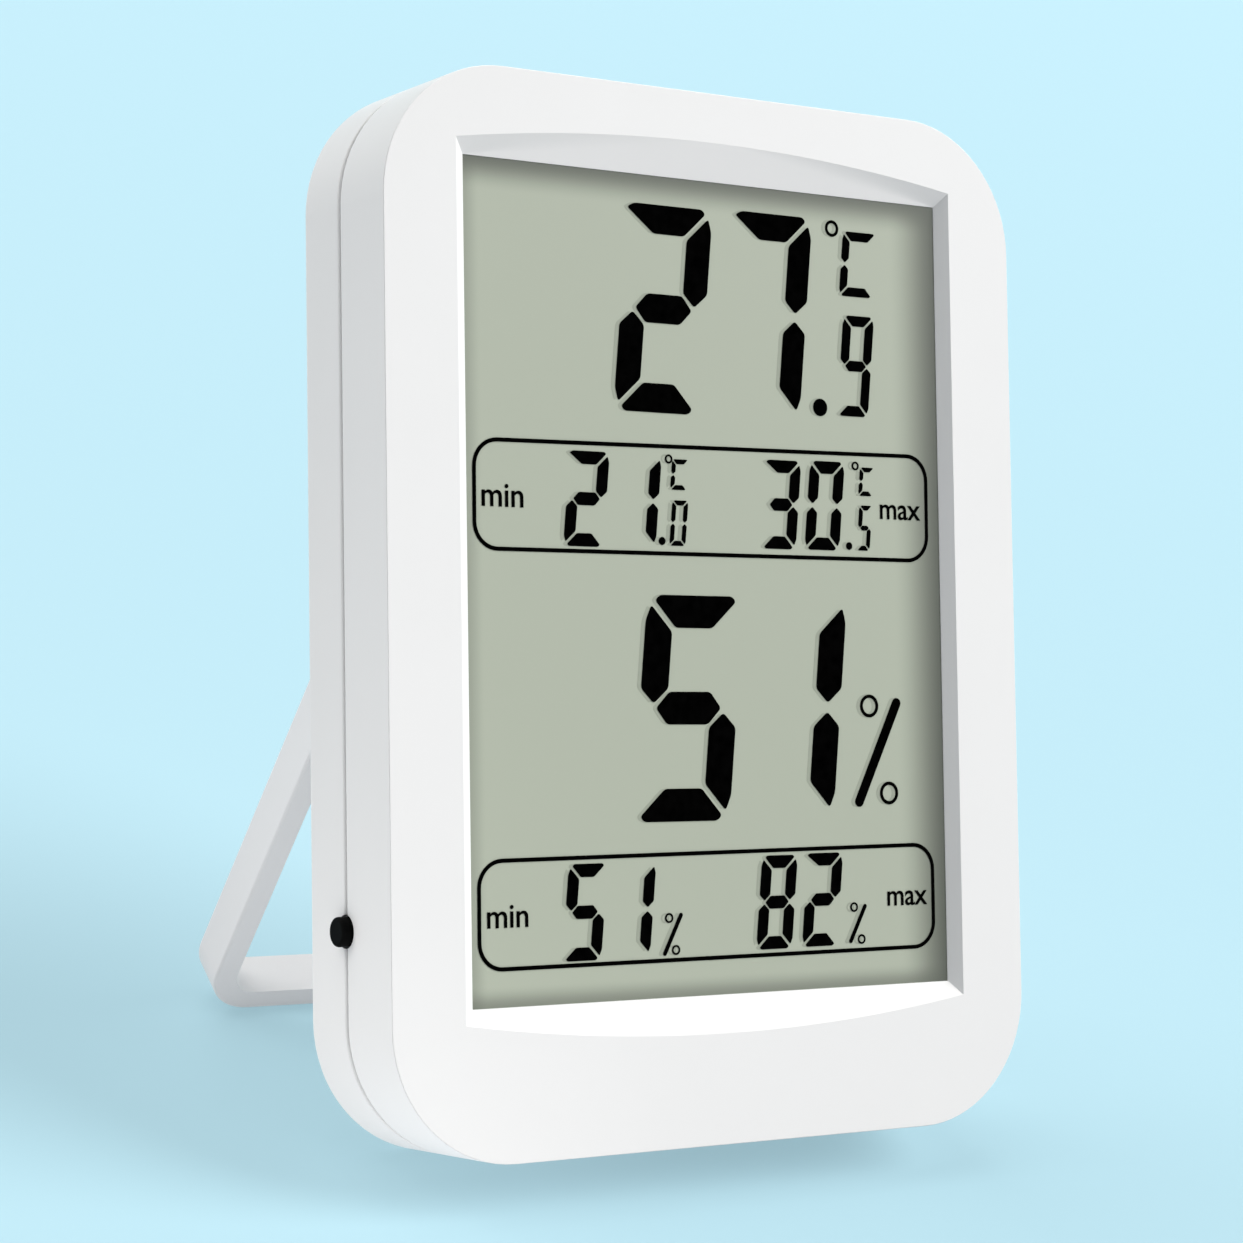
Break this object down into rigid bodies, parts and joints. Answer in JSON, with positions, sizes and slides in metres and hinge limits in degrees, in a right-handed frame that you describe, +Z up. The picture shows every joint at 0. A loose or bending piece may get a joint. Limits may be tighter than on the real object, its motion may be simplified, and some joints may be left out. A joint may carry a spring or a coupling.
{
  "type": "temperature humidity sensor",
  "caption": "Flat white room thermometer and hygrometer with a large display, a round side button, a folding bail stand and a rear keyhole, for a desk or a wall.",
  "frame": {"origin": "middle of the standing part's footprint, on the surface that it stands on", "axes": "+X to the viewer's right when facing the display, +Y from the display to the back, +Z up; the case leans back on its open stand"},
  "size_m": [0.0811, 0.0574, 0.1078],
  "materials": {
    "shell_plastic": "fine satin moulding",
    "stand_plastic": "fine satin moulding",
    "button_plastic": "satin",
    "switch_shell": "plain",
    "board": "solder mask",
    "resin": "satin",
    "plated_steel": "nickel plated",
    "chip_ceramic": "plain",
    "display_film": "anti-glare",
    "display_glass": "clear",
    "reflector_film": "silvery",
    "frame_plastic": "plain",
    "connector_rubber": "striped",
    "cell_jacket": "printed sleeve, no lettering",
    "lead_black": "insulation",
    "lead_red": "insulation"
  },
  "bodies": {
    "case": {"front_bezel": "shell_plastic", "rear_cover": "shell_plastic", "tact_switch": "switch_shell", "circuit_board": "board", "controller_blob": "resin", "crystal_can": "plated_steel", "chip_parts": "chip_ceramic", "climate_sensor": "resin", "lcd_polariser": "display_film", "lcd_front_glass": "display_glass", "lcd_rear_glass": "display_glass", "lcd_reflector": "reflector_film", "lcd_frame": "frame_plastic", "zebra_strip": "connector_rubber", "battery_cell": "cell_jacket", "battery_spring": "plated_steel", "negative_contact": "plated_steel", "positive_contact": "plated_steel", "lead_black": "lead_black", "lead_red": "lead_red", "case_screws": "plated_steel", "board_screws": "plated_steel"},
    "door": {"battery_door": "shell_plastic"},
    "stand": {"bail_stand": "stand_plastic"},
    "button": {"side_button": "button_plastic", "switch_plunger": "button_plastic"}
  },
  "joints": [
    {"name": "stand_hinge", "type": "hinge", "parent": "case", "child": "stand", "pos_m": [0, 0.00786, 0.04235], "axis": [1, 0, 0], "range_deg": [-42.9, 0]},
    {"name": "door_pull", "type": "slide", "parent": "case", "child": "door", "axis": [0, 0.9242, -0.382], "range_m": [0, 0.02]},
    {"name": "button_press", "type": "slide", "parent": "case", "child": "button", "axis": [1, 0, 0], "range_m": [0, 0.0004], "stiffness_N_per_m": 1500}
  ]
}
